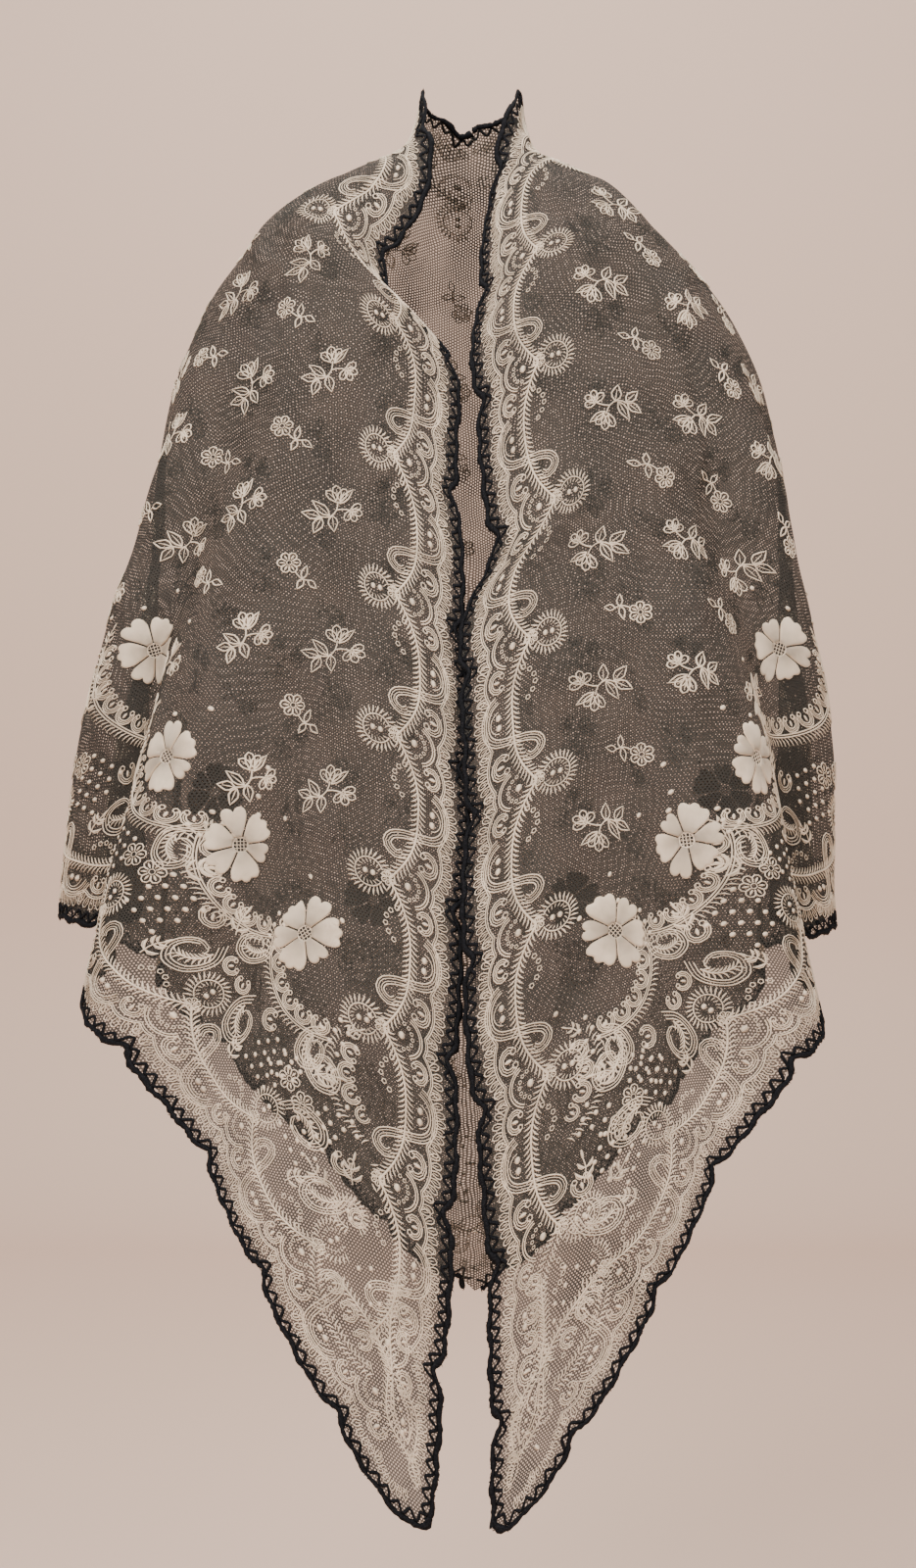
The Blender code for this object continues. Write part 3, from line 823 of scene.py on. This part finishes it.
# Each scallop: the length along the hem from the tip, the inset of its middle, its radius, and its half width
SCALLOPS = (
    (0.318, 0.213, 0.057, 0.052),
    (0.424, 0.205, 0.060, 0.052),
    (0.528, 0.196, 0.060, 0.052),
    (0.633, 0.205, 0.062, 0.053),
    (0.786, 0.236, 0.078, 0.076),
    (0.927, 0.225, 0.070, 0.065),
    (1.045, 0.215, 0.062, 0.053),
    (1.157, 0.220, 0.064, 0.059),
    (1.276, 0.232, 0.068, 0.060),
    (1.397, 0.225, 0.064, 0.061),
    (1.520, 0.262, 0.072, 0.062),
    (1.645, 0.235, 0.068, 0.063),
    (1.768, 0.228, 0.066, 0.060),
    (1.880, 0.232, 0.066, 0.052),
)


def spray(base, length, turn, pairs=3):
    """A spray of pointed leaves on a stem."""
    stem = curve_through([base, base + way(turn - 12) * length * 0.5, base + way(turn) * length], 7)
    threads = [(stem, LINE)]
    for k in range(pairs):
        root = stem[1 + round(5 * k / pairs)]
        for side in (1, -1):
            tip = root + way(turn + side * 48) * length * (0.48 - 0.08 * k)
            threads.append(leaf(root, tip, length * 0.055, 0.12 * side))
            threads.append(leaf(root, tip, FINE, 0.30 * side))
    threads.append(leaf(stem[-2], stem[-1] + way(turn) * length * 0.2, length * 0.06))
    return threads


def scrolled_leaf(centre, size, turn, bend):
    """A large curling leaf, rounded at one end, with two echoing outlines and a feathery plume in it."""
    outline = np.array([(0.95, 0.00), (0.55, 0.42), (0.0, 0.55), (-0.55, 0.42), (-0.80, 0.0), (-0.55, -0.40),
                        (-0.10, -0.48), (0.32, -0.30), (0.40, -0.02), (0.20, 0.12)])
    c, s = way(turn)
    spin = np.array([[c, s], [-s, c]])
    threads = []
    for share, half, last in ((1.0, LINE, 10), (0.86, FINE, 9), (0.72, LINE, 8)):
        points = outline[:last] * share * size * np.array([1, bend]) + np.array([(1 - share) * -0.04 * size, 0])
        threads.append((centre + curve_through(points, 27 - 3 * (10 - last)) @ spin, half))
    stem = np.array([(0.45, 0.16), (0.15, 0.22), (-0.20, 0.12), (-0.42, -0.10)]) * size * np.array([1, bend])
    plume = feathered(centre + curve_through(stem, 9) @ spin, size * 0.13, size * 0.24, BARB * 0.9, 48)
    return threads + plume


def dot_field(centre, columns, rows, turn, pitch=0.0118, radius=0.0023):
    """A field of padded dots in staggered rows."""
    c, s = way(turn)
    spin = np.array([[c, s], [-s, c]])
    threads = []
    for row in range(rows):
        for k in range(columns - row % 2):
            place = np.array([k - (columns - 1) / 2 + 0.5 * (row % 2), (row - (rows - 1) / 2) * 0.86]) * pitch
            threads.append(dot(centre + place @ spin, radius))
    return threads


def scallop_chain(length, inset, radius, half_width):
    """One scallop of the chain, its middle at (length, inset) and its arc towards the hem."""
    open_turn = math.degrees(math.acos(min(half_width / radius, 1)))
    start, end = 180 + open_turn, 360 - open_turn
    centre = np.array([length, inset])
    threads = []
    for offset in (0.0, 0.0022):
        threads.append((bent(centre, radius + offset, start - 1, end + 1, 27), LINE))
    run = math.radians(end - start) * radius
    for k in range(round(run / 0.0044)):
        turn = start + (k + 0.5) * (end - start) / round(run / 0.0044)
        root, tip = centre + way(turn) * (radius + 0.0030), centre + way(turn + 3) * (radius + 0.0105)
        threads.append(leaf(root, tip, BARB * 0.85, 0.1, count=3))
    scrolls = round(run / 0.0205)
    for k in range(scrolls):
        turn = start + (k + 0.5) * (end - start) / scrolls
        threads += kidney(centre + way(turn) * (radius - 0.0098), 0.0088, turn + 180)
    tip = centre + np.array([half_width, -math.sqrt(max(radius**2 - half_width**2, 0))])
    threads += spray(tip + (0, 0.002), 0.016, 90, 2)
    for turn in (20, 52, 128, 160):
        threads.append(dot(centre + way(turn) * radius * 0.80, 0.0024))
    return threads


FRONT_CLEAR = 0.072


def band(left):
    threads = []
    for row in SCALLOPS:
        threads += scallop_chain(*row)
    for k in range(1, HEM_REPEATS):
        middle = (k + HEM[left] + 0.5) * HEM_REPEAT
        side = 1 if k % 2 else -1
        threads += scrolled_leaf(np.array([middle - side * 0.024, 0.094]), 0.030, 90 + side * 20, side)
        threads += dot_field(np.array([middle + side * 0.022, 0.105]), 4, 5, 8 * side)
        threads += spray(np.array([middle - side * 0.002, 0.064]), 0.022, 90 + side * 12, 3)
        threads += blossom(np.array([middle + side * 0.048, 0.118]), 0.011, 6, 20)
        threads += kidney(np.array([middle - side * 0.006, 0.126]), 0.0105, 90 - side * 40)
        threads += kidney(np.array([middle - side * 0.050, 0.113]), 0.0085, 90 + side * 30)
    for k, (this, after) in enumerate(zip(SCALLOPS, SCALLOPS[1:])):
        cusp = np.array([(this[0] + this[3] + after[0] - after[3]) / 2, min(this[1], after[1]) - 0.052])
        side = 1 if k % 2 else -1
        threads += scrolled_leaf(cusp, 0.026, 90 + side * 25, side)
        threads += dot_field(cusp + (0, 0.030), 3, 3, 0)
        threads += spray(cusp + (side * 0.020, -0.012), 0.026, 90 - side * 25, 3)
    kept = []
    for places, halves in threads:
        if places[:, 0].max() > HEM_LENGTH:
            continue
        moved = along_hem(places[:, 0], places[:, 1], left)
        if (moved[:, 1] > FRONT_CLEAR).all() and ((moved[:, 0] > 0).all() if left else (moved[:, 0] < 0).all()):
            kept.append((moved, halves))
    return kept


def tip_motif(left):
    """In the tip, pointed ovals with dots between two vines. Above them lie a wheel, sprays, leaves and dots."""
    axis = math.degrees(math.atan2(DEPTH, HALF_EDGE)) / 2 + 2.5
    back = way(180 - axis)
    aside = np.array([back[1], -back[0]])
    tip = np.array([HALF_EDGE, 0.0])
    threads = []
    for wide, half in ((0.021, LINE), (0.014, LINE)):
        threads.append(leaf_outline(tip + back * 0.050, tip + back * 0.100, wide, half))
    threads.append(leaf_outline(tip + back * 0.018, tip + back * 0.044, 0.011, LINE))
    threads.append(leaf(tip + back * 0.022, tip + back * 0.038, FINE * 2))
    for share in (0.060, 0.068, 0.076, 0.084):
        threads.append(dot(tip + back * share, 0.0019))
    for side in (1, -1):
        stem = curve_through([tip + back * 0.104, tip + back * 0.135 + aside * side * 0.008,
                              tip + back * 0.172 + aside * side * 0.026], 13)
        threads += feathered(stem, BARB_EVERY, 0.0080, BARB)
        stem = curve_through([tip + back * 0.036, tip + back * 0.070 + aside * side * 0.0155,
                              tip + back * 0.104 + aside * side * 0.004], 13)
        threads += feathered(stem, BARB_EVERY, 0.0062, BARB * 0.8)
        for share, off in ((0.128, 0.021), (0.150, 0.0276), (0.172, 0.0342)):
            threads += kidney(tip + back * share + aside * side * off, 0.0085, 180 - axis - side * 90)
    for share, off in ((0.142, 0.0), (0.156, 0.004), (0.156, -0.005), (0.170, 0.0), (0.184, 0.006), (0.184, -0.006)):
        threads.append(dot(tip + back * share + aside * off, 0.0022))
    threads += wheel(tip + back * 0.226, WHEEL * 0.9, 180 - axis + 180)
    threads += spray(tip + back * 0.250 + aside * 0.012, 0.024, 180 - axis - 25, 2)
    threads += spray(tip + back * 0.250 - aside * 0.012, 0.024, 180 - axis + 25, 2)
    threads += scrolled_leaf(tip + back * 0.300 + aside * 0.016, 0.030, 120, 1)
    threads += scrolled_leaf(tip + back * 0.345 - aside * 0.018, 0.028, 150, -1)
    threads += dot_field(tip + back * 0.300 - aside * 0.020, 3, 3, 180 - axis)
    threads += dot_field(tip + back * 0.350 + aside * 0.018, 3, 4, 180 - axis)
    return [(places * np.array([1 if left else -1, 1]), halves) for places, halves in threads]


for left, side in ((True, "left"), (False, "right")):
    sew("scroll_band_" + side, band(left) + tip_motif(left), cotton, WORK_HEIGHT, WORK_LIFT)

# The scattered sprigs
# Rows of small sprigs cover the middle of the net. A bud with pointed leaves lies between the wheels of the border, and
# an open flower with a curved stem lies beside them, turn and turn about.

SPRIG_ROW = 0.0405
SPRIG_SIZE = 1.16
# The large raised flowers lie at these places (along, inward, turn), and the sprigs keep clear of them
FLOWERS = (
    (1.005, 0.138, 20),
    (0.932, 0.215, -15),
    (0.850, 0.266, 10),
    (0.700, 0.340, -20),
    (0.330, 0.660, 15),
    (0.120, 0.790, -10),
)
FLOWER_RADIUS = 0.034


def bud_sprig():
    """A bud of outlined petals on a stem, two pairs of pointed leaves, and a cluster of four small round ones."""
    heart = np.array([0.002, 0.004])
    threads = []
    for turn, length, wide in ((90, 0.013, 0.0070), (50, 0.012, 0.0065), (130, 0.012, 0.0065)):
        threads.append(looped_petal(heart, heart + way(turn) * length, wide, LINE))
        threads.append(leaf(heart + way(turn) * 0.003, heart + way(turn) * length * 0.8, FINE, count=3))
    threads.append((curve_through([(0.002, 0.004), (0.0, -0.003), (-0.006, -0.008), (-0.013, -0.007)], 7), LINE))
    for base, tip, wide in (
        ((-0.006, -0.007), (-0.016, 0.006), 0.0065), ((-0.013, -0.007), (-0.024, -0.002), 0.0070),
        ((-0.012, -0.008), (-0.019, -0.019), 0.0070), ((-0.004, -0.007), (-0.004, -0.020), 0.0075),
        ((0.003, 0.002), (0.015, 0.012), 0.0050),
    ):
        threads.append(leaf_outline(base, tip, wide, LINE))
        threads.append(leaf(base, np.array(base) * 0.25 + np.array(tip) * 0.75, FINE * 1.1, count=3))
    knot = np.array([0.012, -0.005])
    threads.append((curve_through([(0.0, -0.003), (0.006, -0.003), knot], 4), LINE))
    for turn in (28, -22, -75, -130):
        threads.append(looped_petal(knot, knot + way(turn) * 0.0095, 0.0058, LINE))
        threads.append(leaf(knot, knot + way(turn) * 0.0065, FINE, count=3))
    return threads


def flower_sprig():
    """An open flower of six petals, with a curved stem and two leaves."""
    threads = blossom(np.array([-0.005, 0.003]), 0.0088, 6, 15)
    threads.append((curve_through([(0.001, -0.003), (0.007, -0.007), (0.014, -0.007)], 6), LINE))
    leaves = (((0.008, -0.007), (0.009, 0.004)), ((0.013, -0.007), (0.022, -0.011)), ((0.009, -0.007), (0.006, -0.016)))
    for base, tip in leaves:
        threads.append(leaf_outline(base, tip, 0.0050, LINE))
    return threads


def true_to_size(centre, places):
    """Places about a centre on the flat cut that come out undistorted where the draped cloth is eased."""
    step = 0.004
    x, y = centre
    ends = lay(np.array([x + step, x - step, x, x]), np.array([y, y, y + step, y - step]))
    tilt = np.stack([ends[0] - ends[1], ends[2] - ends[3]], axis=1) / (2 * step)
    size, turned = np.linalg.eigh(tilt.T @ tilt)
    spread = (turned / np.sqrt(np.clip(size, 0.4, 2.0))) @ turned.T
    return centre + places @ spread


def placed(threads, centre, turn=0.0, size=1.0):
    """A motif turned, sized and set at a place of the flat cut."""
    c, s = way(turn) * size
    spin = np.array([[c, s], [-s, c]])
    return [(true_to_size(np.array(centre), places @ spin), np.asarray(halves) * size) for places, halves in threads]


def over_band(place):
    """How far a place lies above the scallops of the band."""
    angle = math.atan2(place[1], abs(place[0]))
    length = np.interp(angle, np.linspace(0, math.pi / 2, 2001), HEM_LENGTHS)
    rows = np.array(SCALLOPS)
    return to_hem(np.array([place]))[0] - np.interp(length, rows[:, 0], rows[:, 1]) + 0.02


def sprig_ground(left):
    threads = []
    kinds = (bud_sprig(), flower_sprig())
    for row in range(24):
        inward = 0.127 + row * SPRIG_ROW
        for k in range(-1, FRONT_REPEATS + 1):
            along = (k + FRONT[left] + (0.0 if row % 2 else 0.5)) * FRONT_REPEAT
            if along < 0.012 or over_band((along, inward)) < 0.030:
                continue
            if any(math.hypot(along - a, inward - i) < 0.060 for a, i, _ in FLOWERS):
                continue
            turn = -90 + (53 * k + 71 * row) % 50 - 25
            place = np.array([along if left else -along, inward])
            threads += placed(kinds[row % 2], place, turn if left else 180 - turn, SPRIG_SIZE)
    return threads


for left, side in ((True, "left"), (False, "right")):
    sew("sprigs_" + side, sprig_ground(left), cotton, WORK_HEIGHT, WORK_LIFT)

# The large raised flowers
# Twelve cream flowers are sewn on, each of six petals of different lengths, worked solid over padding and parted by
# narrow slits, round an open centre crossed by threads.

FLOWER_PETALS = 6
PETAL_LENGTHS = (1.0, 0.87, 0.94, 0.99, 0.84, 0.93)
FLOWER_RISE = 0.0014
SEAT = 0.0014
CENTRE_SHARE = 0.20
CENTRE_PITCH = 0.003
STITCH_DEPTH = 0.0003


def petal_tip(across, length, odd):
    """The reach of a petal's end: two or three rounded lobes."""
    lobes = 2 + odd
    notched = np.abs(np.cos(across * math.pi * lobes / 2 + (0 if odd else math.pi / 2))) ** 0.6
    return FLOWER_RADIUS * length * (0.86 + 0.14 * notched - 0.10 * np.abs(across) ** 4)


def make_flower(name, centre, turn, finish):
    """One flower: six grids bent into petals, and the threads of the open centre."""
    bm = bmesh.new()
    stitch_map = bm.loops.layers.uv.new("stitches")
    for k in range(FLOWER_PETALS):
        made = bmesh.ops.create_grid(bm, x_segments=13, y_segments=14, size=1)["verts"]
        flat = np.array([v.co[:2] for v in made])
        down, across = flat[:, 0] / 2 + 0.5, flat[:, 1]
        odd = k % 2
        inner = FLOWER_RADIUS * CENTRE_SHARE
        radius = inner + (petal_tip(across, PETAL_LENGTHS[k], odd) - inner) * down
        slit = 0.0007 / radius
        spread = (math.pi / FLOWER_PETALS * (1.0 + (0.14 if odd else -0.14)) - slit) * (1 - 0.05 * down**5)
        angle = math.radians(turn) + 2 * math.pi / FLOWER_PETALS * k + across * spread
        places = true_to_size(np.array(centre), radius[:, None] * np.stack([np.cos(angle), np.sin(angle)], axis=-1))
        rim = (1 - across**6) * (1 - np.abs(2 * down - 1) ** 6)
        rise = FLOWER_RISE * (0.15 + 0.85 * np.clip(rim, 0, 1) ** 0.5) * (1 - 0.25 * down)
        rise -= 0.0004 * np.exp(-((across / 0.10) ** 2)) * down
        for vert, place in zip(made, lay(places[:, 0], places[:, 1], SEAT + rise)):
            vert.co = place
        at = {vert: (d, a) for vert, d, a in zip(made, down, across)}
        for face in {f for v in made for f in v.link_faces}:
            for loop in face.loops:
                loop[stitch_map].uv = at[loop.vert]
    edges = [e for e in bm.edges if e.is_boundary]
    skirt = bmesh.ops.extrude_edge_only(bm, edges=edges)["geom"]
    low = [v for v in skirt if isinstance(v, bmesh.types.BMVert)]
    middle = lay(np.array([centre[0]]), np.array([centre[1]]))[0]
    outward = unit(lay(np.array([centre[0]]), np.array([centre[1]]), np.array([0.01]))[0] - middle)
    for vert in low:
        vert.co -= type(vert.co)(outward * 0.0012)
    bmesh.ops.recalc_face_normals(bm, faces=bm.faces)
    if sum(f.normal.dot(type(f.normal)(outward)) for f in bm.faces) < 0:
        bmesh.ops.reverse_faces(bm, faces=bm.faces)
    made = finished(bm, name)
    made.data.materials.append(finish)
    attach(made, "root")
    return made


def satin_finish():
    """Satin stitch: glossy threads side by side along each petal."""
    finish = Finish("cream satin stitch", 0.55, Sheen_Weight=0.1, Specular_IOR_Level=0.25)
    lines = (finish.flat_place("stitches")[1] * 95.0).cosine()
    worn = finish.noise(0.012, 3)
    finish.set({"Base Color": finish.shades(worn.ramp(0.2, 0.7), (0.76, 0.585, 0.41), (0.91, 0.715, 0.525))})
    finish.bump(lines + worn * 1.5, STITCH_DEPTH)
    return finish.material


satin = satin_finish()
flowers, centre_threads = [], []
for side, sign in (("left", 1), ("right", -1)):
    for number, (along, inward, turn) in enumerate(FLOWERS, start=1):
        name = f"flower_{side}_{number}"
        flower = make_flower("raised_" + name, (sign * along, inward), sign * turn, satin)
        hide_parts(name)
        flowers.append(flower)
        centre = []
        reach = FLOWER_RADIUS * CENTRE_SHARE
        for k in range(-2, 3):
            off = k * CENTRE_PITCH
            half_run = math.sqrt(reach**2 - off**2)
            for run in ([(off, -half_run), (off, half_run)], [(-half_run, off), (half_run, off)]):
                centre.append((np.array(run), FINE * 0.8))
        centre.append((bent((0, 0), reach, 0, 360, 17), LINE))
        centre_threads += placed(centre, (sign * along, inward), turn + 20)
sew("flower_centres", centre_threads, cotton, WORK_HEIGHT, WORK_LIFT)

# The floor, the light and the camera
# A pale floor runs up into a pale wall far behind. Three large soft lights stand in front and above, and one more
# lights the wall.

FLOOR = -1.56
WALL_BEHIND = 3.40


def make_backdrop():
    """A floor and a wall in one sweep."""
    bm = bmesh.new()
    bmesh.ops.create_grid(bm, x_segments=1, y_segments=1, size=3.5)
    bmesh.ops.translate(bm, verts=bm.verts, vec=(0, WALL_BEHIND - 3.5, FLOOR))
    back = [e for e in bm.edges if all(v.co.y > WALL_BEHIND - 0.01 for v in e.verts)]
    raised = bmesh.ops.extrude_edge_only(bm, edges=back)["geom"]
    bmesh.ops.translate(bm, verts=[v for v in raised if isinstance(v, bmesh.types.BMVert)], vec=(0, 0, 5))
    corner = [e for e in bm.edges if all(abs(v.co.z - FLOOR) < 0.01 and v.co.y > WALL_BEHIND - 0.01 for v in e.verts)]
    bmesh.ops.bevel(bm, geom=corner, offset=0.7, segments=16, profile=0.5, affect="EDGES", material=-1)
    bmesh.ops.recalc_face_normals(bm, faces=bm.faces)
    return finished(bm, "backdrop")


backdrop = make_backdrop()
wall = Finish("pale wall", 0.9, Specular_IOR_Level=0.1)
wall.set({"Base Color": wall.shades(wall.noise(1.5), (0.66, 0.478, 0.372), (0.70, 0.513, 0.408))})
backdrop.data.materials.append(wall.material)


def soft_light(name, place, aim, size, power):
    lamp = bpy.data.lights.new(name, "AREA")
    lamp.size = size
    lamp.energy = power
    made = bpy.data.objects.new(name, lamp)
    made.location = place
    x, y, z = np.array(aim) - np.array(place)
    made.rotation_euler = (math.atan2(math.hypot(x, y), -z), 0, math.atan2(x, -y) + math.pi)
    bpy.context.scene.collection.objects.link(made)


soft_light("key", (-1.6, -2.6, 1.4), (0, 0, -0.5), 1.6, 152)
soft_light("fill", (2.0, -2.4, 0.6), (0, 0, -0.6), 1.8, 66)
soft_light("top", (0.0, -0.6, 2.2), (0, 0.2, -0.4), 2.0, 55)
soft_light("wall", (0.0, 1.0, 2.4), (0, 3.4, -0.6), 2.4, 82)

world = bpy.data.worlds.new("room")
bpy.context.scene.world = world
world.use_nodes = True
world.node_tree.nodes["Background"].inputs["Color"].default_value = (1.0, 0.97, 0.95, 1)
world.node_tree.nodes["Background"].inputs["Strength"].default_value = 0.48

PHOTO_WIDE, PHOTO_TALL = 935, 1600
LENS_PIXELS = 2520
lens = bpy.data.cameras.new("camera")
lens.sensor_fit = "VERTICAL"
lens.sensor_height = 24
lens.lens = 24 * LENS_PIXELS / PHOTO_TALL
lens.shift_x = (PHOTO_WIDE / 2 - 482) / PHOTO_TALL
lens.shift_y = (760 - PHOTO_TALL / 2) / PHOTO_TALL
lens.clip_end = 50
camera = bpy.data.objects.new("camera", lens)
camera.location = (0, -2.4, -0.519)
camera.rotation_euler = (math.pi / 2, 0, 0)
bpy.context.scene.collection.objects.link(camera)
bpy.context.scene.camera = camera
